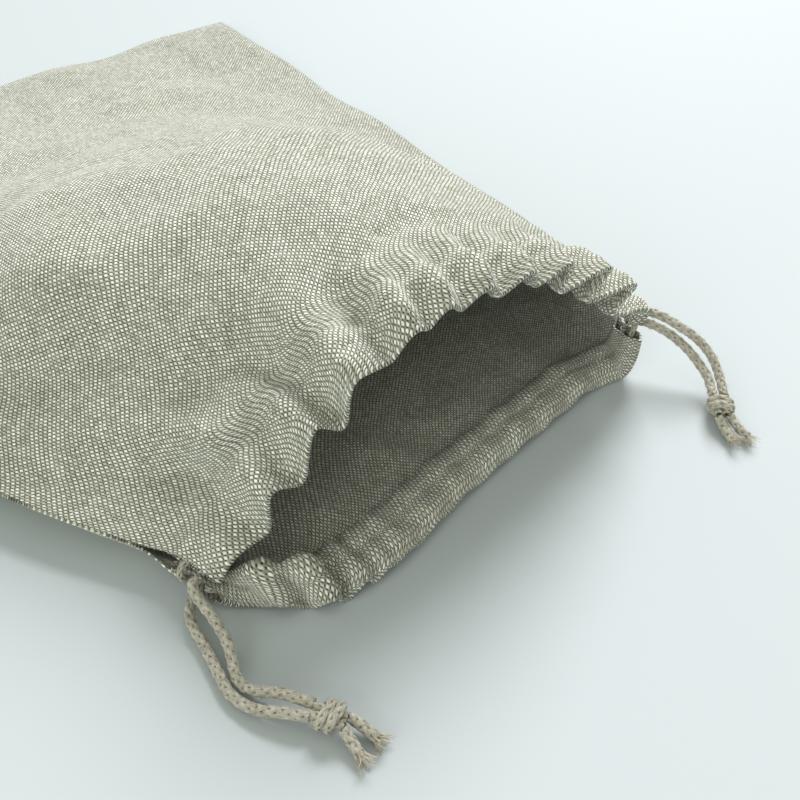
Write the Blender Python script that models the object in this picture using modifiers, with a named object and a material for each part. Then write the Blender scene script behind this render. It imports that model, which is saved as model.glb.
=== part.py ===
"""Linen bread bag.

A plain drawstring bag of two linen panels, lying on its lower panel with the closed end towards +Y.
The upper panel keeps the high round shape that it takes over a loaf, and slopes down to lie flat on
the lower panel behind it. The mouth has a turned-in casing. Two drawstrings run all round in it, and
each comes out at one side in two strands, which are knotted together and cut off short.

Lengths in this file are millimetres, and the meshes are written in metres.
"""

import math
from bisect import bisect_right
from collections import namedtuple

import bmesh
import bpy
import numpy as np
from mathutils import Matrix, Vector

MM = 0.001

# The bag as it is sewn
FLAT_WIDTH = 300.0  # side seam to side seam, laid flat
FLAT_LENGTH = 400.0  # mouth to closed end, laid flat
CLOTH = 1.0  # thickness of one layer
CORD = 3.6  # diameter of a drawstring where it lies free
CORD_IN_CASING = 2.8  # drawn tight in the casing, it is a little thinner
NEAR_CORD_V = 6.5  # how far from the lip each drawstring runs in the casing
FAR_CORD_V = 12.8

# How its layers lie
MOUTH_Y = -173.0  # the line between the places where the cords come out
LAYER_STEP = 1.9  # between the middles of two layers that lie closed
CASING_HALF = 3.0  # from the casing's middle to the middle of either layer, over the cords
CASING_SWELL = (0.8, 4.2, 15.2, 19.4)  # where the casing starts, is, stays and stops being full
CORD_PINCH = 0.45  # share of each pleat's height that the drawn cords take away

FINE = 361  # points that stand for a smooth curve before it is divided
COARSE_FROM_V = 75.0  # behind this, every second column of the grid goes on

# The upper panel over the loaf. A row for each distance v from the lip, along the cloth. The crown
# is the highest point. Near is the side seam at -X and far the one at +X; their y and mid_y are
# measured from the cord exits. swell rounds the shoulders and skirt flares the foot of the slope.
Section = namedtuple(
    "Section",
    "v mid_y crown_x crown_z near_x near_y near_z far_x far_y far_z"
    " near_swell near_skirt far_swell far_skirt",
)
UPPER = [
    Section(0, -5, 2, 78.0, -91, -3, 11.5, 93, -6, 27.0, 2.0, 1.30, 2.2, 0.90),
    Section(15, 10, 2, 79.7, -95, 13, 11.4, 98, 8, 22.6, 2.0, 1.33, 2.2, 0.95),
    Section(20, 15, 2, 80.0, -97, 18, 11.0, 100, 13, 20.0, 2.0, 1.35, 2.2, 1.00),
    Section(30, 25, 2, 81.5, -103, 28, 10.6, 104, 22, 15.5, 2.0, 1.40, 2.2, 1.05),
    Section(75, 70, 2, 83.0, -127, 72, 11.5, 125, 66, 3.4, 2.1, 1.50, 2.2, 1.30),
    Section(115, 110, 2, 79.0, -142, 112, 11.0, 134, 106, 1.5, 2.2, 1.70, 2.2, 1.50),
    Section(157, 150, 2, 67.0, -150, 153, 9.8, 135, 147, 1.0, 2.2, 1.80, 2.2, 1.80),
    Section(202, 190, 2, 47.0, -153, 195, 7.0, 135, 191, 1.0, 2.2, 2.00, 2.2, 2.00),
    Section(247, 230, 0, 26.0, -155, 237, 3.6, 135, 235, 1.0, 2.2, 2.00, 2.2, 2.00),
    Section(290, 270, -4, 12.0, -156, 277, 1.0, 136, 277, 1.0, 2.2, 2.00, 2.2, 2.00),
    Section(330, 310, -8, 5.5, -157, 315, 1.0, 136, 315, 1.0, 2.2, 2.00, 2.2, 2.00),
    Section(370, 348, -10, 2.6, -158, 350, 1.0, 136, 350, 1.0, 2.2, 2.00, 2.2, 2.00),
    Section(400, 373, -11, 1.2, -158, 373, 1.0, 136, 373, 1.0, 2.2, 2.00, 2.2, 2.00),
]

# The lower panel lies on the surface. Near the mouth its sides climb to the upper panel's, and along
# the near side the loaf holds the seam off the surface. lift is how far below the upper panel's
# middle its edge stays, and foot how far in the climb starts.
Rest = namedtuple("Rest", "v mid_y near_lift near_foot far_lift far_foot")
LOWER = [
    Rest(0, -20, 7.6, 6, 8.2, 7),
    Rest(15, -5, 7.6, 6, 8.2, 8),
    Rest(20, 0, 7.2, 6, 3.4, 9),
    Rest(30, 10, -0.2, 14, 1.2, 11),
    Rest(75, 54, -0.3, 24, 1.0, 14),
    Rest(115, 93, -0.3, 24, -0.1, 10),
    Rest(157, 134, -0.4, 22, -0.55, 6),
    Rest(250, 226, -0.5, 14, -0.55, 6),
    Rest(400, 373, -0.55, 6, -0.55, 6),
]
# Its lip stands forward of the line between its two corners, by a distance for each share of the way
# across.
Lip = namedtuple("Lip", "share forward")
LIP = [
    Lip(0.00, 0.0),
    Lip(0.04, 6.0),
    Lip(0.10, 15.5),
    Lip(0.16, 21.5),
    Lip(0.23, 22.0),
    Lip(0.50, 10.5),
    Lip(0.74, 2.0),
    Lip(0.93, -3.0),
    Lip(1.00, 0.0),
]
# Beside the near exit the drawn-up casing stands in a ruffle, which was pushed against the loaf. Its
# crest runs across the cloth at v, fading from the one u to the other.
RUFFLE_V = 18.0
RUFFLE_FROM_U, RUFFLE_TO_U = -122.0, -84.0
RUFFLE_RISE = 11.0
RUFFLE_WIDTH = 11.0
RUFFLE_FORWARD = 5.0  # how far the cloth behind it is drawn towards the mouth

# Folds. Each is a soft ridge, or a trough where rise is negative, that fades along a line from the
# mouth. u runs across the cloth from the middle, and v along it from the lip.
Fold = namedtuple("Fold", "from_u from_v to_u to_v rise width")
UPPER_FOLDS = [
    Fold(-134, 16, -128, 34, 1.6, 8.0),
    Fold(-120, -5, -119, 34, -2.4, 7.0),
    Fold(-104, -5, -96, 46, 3.4, 7.5),
    Fold(-90, -5, -84, 44, -4.8, 6.5),
    Fold(-77, -5, -75, 48, 4.8, 7.5),
    Fold(-64, -5, -64, 48, -4.0, 7.5),
    Fold(-46, -5, -42, 66, 3.8, 8.5),
    Fold(-28, -5, -26, 52, -4.0, 8.0),
    Fold(-12, -5, -12, 46, 2.8, 7.0),
    Fold(2, -5, 4, 42, -2.2, 6.5),
    Fold(13, -5, 12, 36, 2.0, 6.0),
    Fold(25, -5, 12, 52, -3.2, 7.0),
    Fold(37, -5, 34, 34, 2.0, 6.0),
    Fold(48, -5, 44, 48, -2.6, 6.5),
    Fold(60, -5, 55, 50, 3.4, 6.5),
    Fold(71, -5, 66, 46, -3.0, 6.5),
    Fold(83, -5, 77, 54, 4.0, 6.5),
    Fold(94, -5, 87, 48, -3.4, 6.5),
    Fold(107, -5, 98, 56, 4.0, 6.5),
    Fold(119, -5, 109, 48, -3.4, 6.5),
    Fold(133, -5, 121, 56, 3.4, 7.5),
    Fold(-95, 28, -122, 66, 3.4, 8.0),
    Fold(-117, 40, -124, 56, -3.4, 9.0),
    Fold(-68, 46, -60, 70, -5.0, 11.0),
    Fold(-80, 128, -45, 270, 12.0, 32.0),
]
LOWER_FOLDS = [
    Fold(-112, -5, -112, 50, 2.5, 9.0),
    Fold(-86, -5, -84, 55, 5.0, 9.0),
    Fold(-62, -5, -58, 60, 3.6, 9.0),
    Fold(-37, -5, -36, 52, 3.0, 9.0),
    Fold(-12, -5, -10, 58, 3.2, 9.0),
    Fold(14, -5, 16, 50, 2.8, 9.0),
    Fold(40, -5, 38, 60, 3.4, 9.0),
    Fold(66, -5, 62, 52, 3.0, 9.0),
    Fold(92, -5, 86, 58, 3.6, 9.0),
]
FOLD_SPREAD = 0.8  # how much wider a fold is at its far end
FOLD_FADE = 1.2  # above 1, it stays high for longer near the mouth

# Columns of each panel's grid: from u to u in steps of about this much cloth
Stretch = namedtuple("Stretch", "from_u to_u count")
UPPER_COLUMNS = [Stretch(-150, -90, 10), Stretch(-90, -6, 18), Stretch(-6, 42, 10), Stretch(42, 150, 32)]
LOWER_COLUMNS = [Stretch(-150, -78, 16), Stretch(-78, 114, 28), Stretch(114, 150, 8)]
# Rows in cloth order: the hem from its sewn edge to the lip, then the outside to the closed end
HEM_ROWS = (20.0, 15.4, 9.7, 4.0, 0.8)
CASING_ROWS = (0.8, 4.0, 9.7, 15.4, 20.0, 26.0, 36.0, 52.0)
UPPER_BACK_ROWS = (
    COARSE_FROM_V, 97.0, 122.0, 150.0, 178.0, 206.0, 234.0, 262.0, 292.0, 335.0, FLAT_LENGTH
)
LOWER_BACK_ROWS = (
    COARSE_FROM_V, 97.0, 122.0, 150.0, 178.0, 206.0, 234.0, 262.0, 292.0, FLAT_LENGTH
)

# Free strands, by hand-chosen points: x, y from the cord exits, z. Each starts at the casing's end.
NEAR_STRANDS = {
    "near_strand_upper": [
        (-94.6, 3.6, 10.8), (-97.4, 2.4, 10.4), (-98.0, -2.5, 9.4), (-97.6, -8.0, 8.0),
        (-97.6, -13.8, 6.4), (-98.4, -19.7, 4.6), (-100.4, -25.3, 3.2), (-102.0, -30.2, 2.6),
        (-101.6, -34.0, 2.6), (-99.6, -37.6, 3.2), (-96.4, -41.4, 4.4), (-93.6, -45.8, 5.2),
        (-91.0, -50.2, 5.3), (-89.6, -52.2, 5.2),
    ],
    "near_strand_lower": [
        (-94.6, 3.6, 3.4), (-98.2, 2.6, 3.4), (-101.6, -1.6, 3.2), (-102.8, -6.6, 2.9),
        (-103.3, -12.0, 2.5), (-104.2, -18.4, 2.2), (-105.4, -25.6, 2.1), (-106.2, -31.6, 2.1),
        (-105.2, -37.6, 2.3), (-102.6, -43.2, 3.1), (-98.4, -48.4, 4.4), (-94.8, -52.8, 5.0),
        (-93.0, -54.8, 5.0),
    ],
}
FAR_STRANDS = {
    "far_strand_upper": [
        (99.0, 5.9, 22.1), (101.6, 5.2, 22.0), (105.2, 0.6, 22.4), (108.3, -5.2, 21.4),
        (110.8, -10.2, 19.2), (113.3, -14.7, 16.8), (114.9, -19.4, 14.0), (114.8, -24.8, 11.0),
        (112.8, -29.9, 8.4), (110.0, -34.4, 6.4), (107.2, -38.1, 5.2),
    ],
    "far_strand_lower": [
        (98.6, 5.9, 17.5), (101.4, 5.0, 17.6), (104.6, 0.4, 17.6), (107.4, -6.0, 16.4),
        (109.2, -12.0, 14.2), (110.2, -17.0, 11.8), (110.2, -22.2, 9.2), (109.2, -27.6, 7.2),
        (106.9, -31.8, 5.8), (104.2, -35.5, 5.0),
    ],
}
# Knots: centre, the way the cord runs through, and half sizes along, across and up
Knot = namedtuple("Knot", "centre heading half_sizes")
KNOTS = {
    "near_knot": Knot((-88.4, -58.0, 5.0), (0.55, -0.83, 0.0), (5.0, 5.2, 4.7)),
    "far_knot": Knot((102.4, -40.6, 5.0), (-0.66, -0.75, 0.0), (4.6, 5.0, 4.7)),
}
# Cut ends past the knots
CUT_ENDS = {
    "near_end_left": [(-87.5, -63.7, 4.3), (-87.6, -68.0, 2.8), (-87.9, -72.5, 1.9)],
    "near_end_right": [(-83.7, -61.6, 4.2), (-82.0, -66.2, 2.8), (-80.8, -70.6, 1.9)],
    "far_end_left": [(97.8, -43.9, 4.1), (95.8, -48.6, 2.6), (94.6, -53.0, 1.9)],
    "far_end_right": [(101.5, -46.1, 4.2), (100.4, -51.2, 2.6), (99.8, -55.6, 1.9)],
}
# A drawstring's turn round the side seam where it doesn't come out: how far each point stands out of
# the casing, and its share of the way from the upper strand down to the lower
Turn = namedtuple("Turn", "out down")
NEAR_TURN = [Turn(2.6, 0.0), Turn(4.8, 0.2), Turn(5.8, 0.5), Turn(4.8, 0.8), Turn(2.6, 1.0)]
FAR_TURN = [Turn(0.9, 0.25), Turn(1.3, 0.5), Turn(0.7, 0.8)]


# ---------------------------------------------------------------- smooth curves


def between_rows(rows, column, at):
    """One column's value where the first is `at`, on a curve that nowhere passes beyond its rows."""
    stations = np.array([row[0] for row in rows], float)
    values = np.array([getattr(row, column) for row in rows], float)
    rates = np.diff(values) / np.diff(stations)
    slopes = np.concatenate([rates[:1], np.zeros(len(rates) - 1), rates[-1:]])
    for row in range(1, len(rates)):
        before, after = rates[row - 1], rates[row]
        if before * after > 0:
            slopes[row] = 2 * before * after / (before + after)
    k = min(max(bisect_right(stations, at) - 1, 0), len(rows) - 2)
    width = stations[k + 1] - stations[k]
    t = (at - stations[k]) / width
    start = (2 * t**3 - 3 * t**2 + 1) * values[k] + (t**3 - 2 * t**2 + t) * width * slopes[k]
    finish = (3 * t**2 - 2 * t**3) * values[k + 1] + (t**3 - t**2) * width * slopes[k + 1]
    return start + finish


def ramp(x, low, high):
    """0 below low, 1 above high, and smooth between."""
    t = np.clip((x - low) / (high - low), 0, 1)
    return t * t * (3 - 2 * t)


def distances(points):
    """Distance along a line of points to each of them."""
    steps = np.linalg.norm(np.diff(points, axis=0), axis=1)
    return np.concatenate([[0.0], np.cumsum(steps)])


def read_at(points, where, at):
    """Points of a line at the values `at` of the rising measure `where`."""
    return np.stack([np.interp(at, where, points[:, axis]) for axis in range(3)], axis=1)


def evenly(points, count):
    """The same line through evenly spaced points."""
    where = distances(points)
    return read_at(points, where, np.linspace(0, where[-1], count))


def smooth_route(points, spacing):
    """A smooth line through hand-chosen points, with a point about every `spacing`."""
    knots = np.array(points, float)
    before = 2 * knots[0] - knots[1]
    after = 2 * knots[-1] - knots[-2]
    padded = np.vstack([before, knots, after])
    line = []
    for p0, p1, p2, p3 in zip(padded, padded[1:], padded[2:], padded[3:]):
        square = 2 * p0 - 5 * p1 + 4 * p2 - p3
        cube = 3 * p1 - p0 - 3 * p2 + p3
        for t in np.linspace(0, 1, 12, endpoint=False):
            line.append(p1 + (p2 - p0) * t / 2 + square * t**2 / 2 + cube * t**3 / 2)
    line.append(knots[-1])
    line = np.array(line)
    count = max(3, round(distances(line)[-1] / spacing) + 1)
    return evenly(line, count)


# ---------------------------------------------------------------- how the cloth lies


def casing_fullness(v):
    """1 where the cords fill the casing, and 0 at the lip and behind the hem's stitching."""
    start, full, still_full, stop = CASING_SWELL
    return ramp(v, start, full) * (1 - ramp(v, still_full, stop))


def layer_half(v):
    """From the middle of the two layers to the middle of either."""
    return LAYER_STEP / 2 + (CASING_HALF - LAYER_STEP / 2) * casing_fullness(v)


def fold_rise(folds, u, v):
    """How far the folds lift the cloth at distances u across and v along it."""
    rise = np.zeros_like(u)
    for fold in folds:
        run_u, run_v = fold.to_u - fold.from_u, fold.to_v - fold.from_v
        t = ((u - fold.from_u) * run_u + (v - fold.from_v) * run_v) / (run_u**2 + run_v**2)
        t = np.clip(t, 0, 1)
        away = np.hypot(u - fold.from_u - t * run_u, v - fold.from_v - t * run_v)
        width = fold.width * (1 + FOLD_SPREAD * t)
        fade = np.clip(np.cos(t * math.pi / 2), 0, 1) ** FOLD_FADE
        rise += fold.rise * fade * np.exp(-((away / width) ** 2))
    return rise * (1 - CORD_PINCH * casing_fullness(v))


def ruffle(u):
    """How much of the lower casing's ruffle there is at u, from 0 to 1."""
    t = np.clip((u - RUFFLE_FROM_U) / (RUFFLE_TO_U - RUFFLE_FROM_U), 0, 1)
    before = np.clip(RUFFLE_FROM_U - u, 0, None)
    return np.cos(t * math.pi / 2) ** 2 * np.exp(-((before / RUFFLE_WIDTH) ** 2))


def upper_section(v):
    """The upper panel's middle across the bag at v, before its folds, from the near seam to the far."""
    at = {name: between_rows(UPPER, name, v) for name in Section._fields}
    share = np.sin(np.linspace(-math.pi / 2, math.pi / 2, FINE))
    out = np.abs(share)
    near = share < 0
    edge_x = np.where(near, at["near_x"], at["far_x"])
    edge_y = np.where(near, at["near_y"], at["far_y"])
    edge_z = np.where(near, at["near_z"], at["far_z"])
    swell = np.where(near, at["near_swell"], at["far_swell"])
    skirt = np.where(near, at["near_skirt"], at["far_skirt"])
    x = at["crown_x"] + out * (edge_x - at["crown_x"])
    y = at["mid_y"] + out**2 * (edge_y - at["mid_y"])
    z = edge_z + (at["crown_z"] - edge_z) * np.clip(1 - out**swell, 0, 1) ** skirt
    return evenly(np.stack([x, y + MOUTH_Y, z], axis=1), FINE)


def lower_section(v):
    """The lower panel's middle across the bag at v, before its folds, from the near seam to the far."""
    edge = {name: between_rows(UPPER, name, v) for name in Section._fields}
    rest = {name: between_rows(LOWER, name, v) for name in Rest._fields}
    floor = CLOTH / 2 + layer_half(v)
    near_z = max(edge["near_z"] - rest["near_lift"], floor)
    far_z = max(edge["far_z"] - rest["far_lift"], floor)
    near_foot = edge["near_x"] + rest["near_foot"]
    far_foot = edge["far_x"] - rest["far_foot"]
    corners = [(edge["near_x"], near_z), (near_foot, floor), (far_foot, floor), (edge["far_x"], far_z)]
    profile = []
    for t in np.linspace(0, 1, FINE):
        profile.append(rounded_path(corners, t))
    profile = np.array(profile)
    line = evenly(np.stack([profile[:, 0], np.zeros(FINE), profile[:, 1]], axis=1), FINE)
    share = (line[:, 0] - edge["near_x"]) / (edge["far_x"] - edge["near_x"])
    straight = edge["near_y"] + share * (edge["far_y"] - edge["near_y"])
    middle = (edge["near_y"] + edge["far_y"]) / 2
    lip = np.array([between_rows(LIP, "forward", at) for at in share])
    behind = 4 * share * (1 - share) * (middle - rest["mid_y"])
    blend = ramp(v, 10, 90)
    line[:, 1] = straight - lip * (1 - blend) - behind * blend + MOUTH_Y
    stands = ruffle(np.linspace(-FLAT_WIDTH / 2, FLAT_WIDTH / 2, FINE))
    line[:, 1] -= RUFFLE_FORWARD * stands * ramp(v, 0, RUFFLE_V) * (1 - blend)
    line[:, 2] += RUFFLE_RISE * stands * math.exp(-(((v - RUFFLE_V) / RUFFLE_WIDTH) ** 2))
    return line


def rounded_path(corners, t):
    """A point at share t of a line along the corners, which leaves the middle stretch in a curve."""
    (x0, z0), (x1, z1), (x2, z2), (x3, z3) = corners
    first, last = 0.1, 0.9
    if t < first:
        s = t / first
        return x0 + (x1 - x0) * s, z0 + (z1 - z0) * (1 - (1 - s) ** 2)
    if t > last:
        s = (t - last) / (1 - last)
        return x2 + (x3 - x2) * (1 - (1 - s) ** 2), z2 + (z3 - z2) * s**2
    s = (t - first) / (last - first)
    return x1 + (x2 - x1) * s, z1 + (z2 - z1) * s


def middle_surface(section, v):
    """Fine points across the bag at v, and the way up from the cloth at each."""
    here = section(v)
    ahead = section(min(v + 1, FLAT_LENGTH))
    back = section(max(v - 1, 0))
    across = np.gradient(here, axis=0)
    up = np.cross(across, ahead - back)
    up /= np.linalg.norm(up, axis=1)[:, None]
    return here, up


def layer_line(section, folds, v, offset):
    """Fine points across one layer of the cloth, `offset` above its middle."""
    here, up = middle_surface(section, v)
    u = np.linspace(-FLAT_WIDTH / 2, FLAT_WIDTH / 2, FINE)
    return here + up * (fold_rise(folds, u, np.full(FINE, float(v))) + offset)[:, None]


# ---------------------------------------------------------------- building blocks


def material(name, colour, roughness):
    """A dull dyed or natural fibre: a Principled BSDF with no metal in it."""
    made = bpy.data.materials.new(name)
    made.use_nodes = True
    shader = made.node_tree.nodes["Principled BSDF"]
    shader.inputs["Base Color"].default_value = (*colour, 1.0)
    shader.inputs["Roughness"].default_value = roughness
    shader.inputs["Metallic"].default_value = 0.0
    made.diffuse_color = (*colour, 1.0)
    return made


def add_mesh(name, mesh, collection, finish):
    """An object for a finished mesh, in the bag's collection."""
    mesh.materials.append(finish)
    made = bpy.data.objects.new(name, mesh)
    collection.objects.link(made)
    return made


def column_shares(stretches):
    """How far across the cloth, from 0 to 1, each column of a panel's grid lies."""
    shares = [0.0]
    for stretch in stretches:
        step = (stretch.to_u - stretch.from_u) / stretch.count
        shares += [(stretch.from_u + step * k) / FLAT_WIDTH + 0.5 for k in range(1, stretch.count + 1)]
    return np.array(shares)


def add_panel(name, section, folds, outside, columns, back_rows, collection, finish):
    """One panel of the bag with its turned-in hem: an open sheet, given its thickness by Solidify.

    outside is +1 where the panel's outer face is up, and -1 where it is down. Behind the mouth,
    every second column of the grid goes on.
    """
    shares = column_shares(columns)
    rows = [(v, -outside) for v in HEM_ROWS] + [(0.0, 0.0)] + [(v, outside) for v in CASING_ROWS]
    mesh = bmesh.new()
    grid = []
    for v, layer in rows + [(v, outside) for v in back_rows]:
        outer = layer_line(section, folds, v, outside * layer_half(v))
        where = distances(outer)
        at = shares * where[-1]
        line = outer if layer == outside else layer_line(section, folds, v, layer * layer_half(v))
        points = read_at(line, where, at)
        if len(grid) >= len(rows):
            points = points[::2]
        grid.append([mesh.verts.new(point * MM) for point in points])
    for here, ahead in zip(grid, grid[1:]):
        if len(here) == len(ahead):
            for k in range(len(here) - 1):
                mesh.faces.new((here[k], here[k + 1], ahead[k + 1], ahead[k]))
        else:
            for k in range(len(ahead) - 1):
                mesh.faces.new((*here[2 * k : 2 * k + 3], ahead[k + 1], ahead[k]))
    bmesh.ops.recalc_face_normals(mesh, faces=mesh.faces)
    data = bpy.data.meshes.new(name)
    mesh.to_mesh(data)
    mesh.free()
    data.shade_smooth()
    panel = add_mesh(name, data, collection, finish)
    wall = panel.modifiers.new("cloth", "SOLIDIFY")
    wall.thickness = CLOTH * MM
    wall.offset = 0.0
    return panel


def add_cord(name, points, diameter, collection, finish):
    """A round cord along the points: a curve with a bevel and closed ends."""
    curve = bpy.data.curves.new(name, "CURVE")
    curve.dimensions = "3D"
    curve.bevel_depth = diameter / 2 * MM
    curve.bevel_resolution = 2
    curve.use_fill_caps = True
    spline = curve.splines.new("POLY")
    spline.points.add(len(points) - 1)
    for knot, point in zip(spline.points, points):
        knot.co = (*(point * MM), 1.0)
    curve.materials.append(finish)
    made = bpy.data.objects.new(name, curve)
    collection.objects.link(made)
    return made


def add_knot(name, knot, collection, finish):
    """The outer shape of a pulled-tight overhand knot in two strands."""
    along = Vector(knot.heading).normalized()
    up = Vector((0, 0, 1))
    across = up.cross(along)
    turn = Matrix((along, across, up)).transposed().to_4x4()
    half = [size * MM for size in knot.half_sizes]
    centre = Vector((knot.centre[0], knot.centre[1] + MOUTH_Y, knot.centre[2])) * MM
    mesh = bmesh.new()
    bmesh.ops.create_uvsphere(mesh, u_segments=14, v_segments=9, radius=1.0)
    mesh.transform(Matrix.Translation(centre) @ turn @ Matrix.Diagonal((*half, 1.0)))
    data = bpy.data.meshes.new(name)
    mesh.to_mesh(data)
    mesh.free()
    data.shade_smooth()
    return add_mesh(name, data, collection, finish)


# ---------------------------------------------------------------- the bag


def casing_cord(v):
    """Middle of the casing at v, along the upper panel and along the lower, near side first."""
    upper = layer_line(upper_section, UPPER_FOLDS, v, 0.0)
    lower = layer_line(lower_section, LOWER_FOLDS, v, 0.0)
    return upper, lower


def drawstring_route(v, side, turn):
    """A drawstring's way round the casing at v: in at one side seam, round at `side`, and back."""
    upper, lower = casing_cord(v)
    if side < 0:
        upper, lower = upper[::-1], lower[::-1]
    spacing = CORD_IN_CASING * 1.5
    there = evenly(upper, round(distances(upper)[-1] / spacing))
    back = evenly(lower[::-1], round(distances(lower)[-1] / spacing))
    link = [
        there[-1] + (back[0] - there[-1]) * row.down + np.array((side * row.out, 0, 0))
        for row in turn
    ]
    return np.vstack([there, link, back])


def from_exits(points):
    """Hand-chosen points, whose y is measured from the cord exits, in the bag's own frame."""
    return [(x, y + MOUTH_Y, z) for x, y, z in points]


def build():
    for old in list(bpy.data.objects):
        bpy.data.objects.remove(old, do_unlink=True)
    bag = bpy.data.collections.new("bread_bag")
    bpy.context.scene.collection.children.link(bag)
    linen = material("natural_linen", (0.40, 0.39, 0.33), 0.9)
    inner_linen = material("natural_linen_underside", (0.34, 0.32, 0.26), 0.9)
    cord_yarn = material("linen_cord", (0.38, 0.35, 0.28), 0.9)
    add_panel("upper_panel", upper_section, UPPER_FOLDS, 1, UPPER_COLUMNS, UPPER_BACK_ROWS, bag, linen)
    add_panel(
        "lower_panel", lower_section, LOWER_FOLDS, -1, LOWER_COLUMNS, LOWER_BACK_ROWS, bag, inner_linen
    )
    add_cord("near_drawstring", drawstring_route(NEAR_CORD_V, 1, FAR_TURN), CORD_IN_CASING, bag, cord_yarn)
    add_cord("far_drawstring", drawstring_route(FAR_CORD_V, -1, NEAR_TURN), CORD_IN_CASING, bag, cord_yarn)
    for strands in (NEAR_STRANDS, FAR_STRANDS, CUT_ENDS):
        for name, points in strands.items():
            add_cord(name, smooth_route(from_exits(points), CORD * 1.5), CORD, bag, cord_yarn)
    for name, knot in KNOTS.items():
        add_knot(name, knot, bag, cord_yarn)


build()
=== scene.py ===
import math
from collections import namedtuple

import bpy
import numpy as np
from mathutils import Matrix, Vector


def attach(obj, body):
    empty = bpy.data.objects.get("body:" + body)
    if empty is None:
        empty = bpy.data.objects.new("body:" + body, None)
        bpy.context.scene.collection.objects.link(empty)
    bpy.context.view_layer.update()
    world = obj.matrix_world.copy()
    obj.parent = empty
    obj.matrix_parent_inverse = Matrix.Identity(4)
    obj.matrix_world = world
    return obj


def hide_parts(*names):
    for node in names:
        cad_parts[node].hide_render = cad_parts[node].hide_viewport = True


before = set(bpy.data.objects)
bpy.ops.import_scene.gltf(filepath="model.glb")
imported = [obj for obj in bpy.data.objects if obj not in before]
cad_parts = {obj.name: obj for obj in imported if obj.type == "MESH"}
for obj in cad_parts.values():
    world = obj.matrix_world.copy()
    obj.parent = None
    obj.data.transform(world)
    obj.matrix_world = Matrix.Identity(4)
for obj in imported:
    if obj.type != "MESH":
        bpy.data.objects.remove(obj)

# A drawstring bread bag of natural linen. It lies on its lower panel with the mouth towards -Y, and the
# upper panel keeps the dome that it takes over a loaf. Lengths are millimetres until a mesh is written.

bpy.ops.object.select_all(action="DESELECT")
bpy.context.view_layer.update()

# ------------------------------------------------------------------------------------------- camera
# A 50 mm lens above and in front of the near corner of the mouth.

CAMERA_PLACE = (-0.180, -0.381, 0.284)
CAMERA_TURN = math.radians(38.0)
CAMERA_PITCH = math.radians(42.1)

lens = bpy.data.cameras.new("camera")
lens.lens = 50
lens.sensor_width = 36
lens.clip_start = 0.01
camera = bpy.data.objects.new("camera", lens)
bpy.context.scene.collection.objects.link(camera)
looks_along = Vector((
    math.sin(CAMERA_TURN) * math.cos(CAMERA_PITCH),
    math.cos(CAMERA_TURN) * math.cos(CAMERA_PITCH),
    -math.sin(CAMERA_PITCH),
))
camera.location = CAMERA_PLACE
camera.rotation_euler = looks_along.to_track_quat("-Z", "Y").to_euler()
bpy.context.scene.camera = camera

# ---------------------------------------------------------------------------- free drawstring strands
# Each drawstring is a soft braided linen cord, four yarns wound each way over and under. It comes out of
# the casing at one side seam in two strands, which lie limp and are tied together near their ends.

MM = 0.001
MOUTH_Y = -173.0  # the line between the two places where the cords come out
CORD = 3.6  # diameter
BRAID_PITCH = 16.4  # length in which a yarn winds once round the cord
BRAID_YARNS = 4  # each way
BRAID_RADIUS = 1.22  # from the cord's middle to a yarn's
BRAID_OVER = 0.22  # how far a yarn rises over those of the other hand, and dips under them
YARN_HALF_WIDTH = 0.74
YARN_HALF_THICKNESS = 0.44
YARN_SIDES = 8
CORE_RADIUS = 0.95
CORE_SIDES = 8
RING_STEP = 0.55  # between the rings of a yarn's mesh
CURVE_POINTS = 12  # between two chosen points of a route

NEAR_STRANDS = {
    "near_strand_upper": [
        (-94.6, 3.6, 10.8), (-97.4, 2.4, 10.4), (-98.0, -2.5, 9.4), (-97.6, -8.0, 8.0),
        (-97.6, -13.8, 6.4), (-98.4, -19.7, 4.6), (-100.4, -25.3, 3.2), (-102.0, -30.2, 2.6),
        (-101.6, -34.0, 2.6), (-99.6, -37.6, 3.2), (-96.4, -41.4, 4.4), (-93.6, -45.8, 5.2),
        (-91.0, -50.2, 5.3), (-89.6, -52.2, 5.2),
    ],
    "near_strand_lower": [
        (-94.6, 3.6, 3.4), (-98.2, 2.6, 3.4), (-101.6, -1.6, 3.2), (-102.8, -6.6, 2.9),
        (-103.3, -12.0, 2.5), (-104.2, -18.4, 2.2), (-105.4, -25.6, 2.1), (-106.2, -31.6, 2.1),
        (-105.2, -37.6, 2.3), (-102.6, -43.2, 3.1), (-98.4, -48.4, 4.4), (-94.8, -52.8, 5.0),
        (-93.0, -54.8, 5.0),
    ],
}
FAR_STRANDS = {
    "far_strand_upper": [
        (99.0, 5.9, 22.1), (101.6, 5.2, 22.0), (105.2, 0.6, 22.4), (108.3, -5.2, 21.4),
        (110.8, -10.2, 19.2), (113.3, -14.7, 16.8), (114.9, -19.4, 14.0), (114.8, -24.8, 11.0),
        (112.8, -29.9, 8.4), (110.0, -34.4, 6.4), (107.2, -38.1, 5.2),
    ],
    "far_strand_lower": [
        (98.6, 5.9, 17.5), (101.4, 5.0, 17.6), (104.6, 0.4, 17.6), (107.4, -6.0, 16.4),
        (109.2, -12.0, 14.2), (110.2, -17.0, 11.8), (110.2, -22.2, 9.2), (109.2, -27.6, 7.2),
        (106.9, -31.8, 5.8), (104.2, -35.5, 5.0),
    ],
}


def distances(points):
    """Distance along a line of points to each of them."""
    steps = np.linalg.norm(np.diff(points, axis=0), axis=1)
    return np.concatenate([[0.0], np.cumsum(steps)])


def read_at(points, where, at):
    """Points of a line at the values `at` of the rising measure `where`."""
    return np.stack([np.interp(at, where, points[:, axis]) for axis in range(3)], axis=1)


def evenly(points, count):
    """The same line through evenly spaced points."""
    where = distances(points)
    return read_at(points, where, np.linspace(0, where[-1], count))


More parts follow.
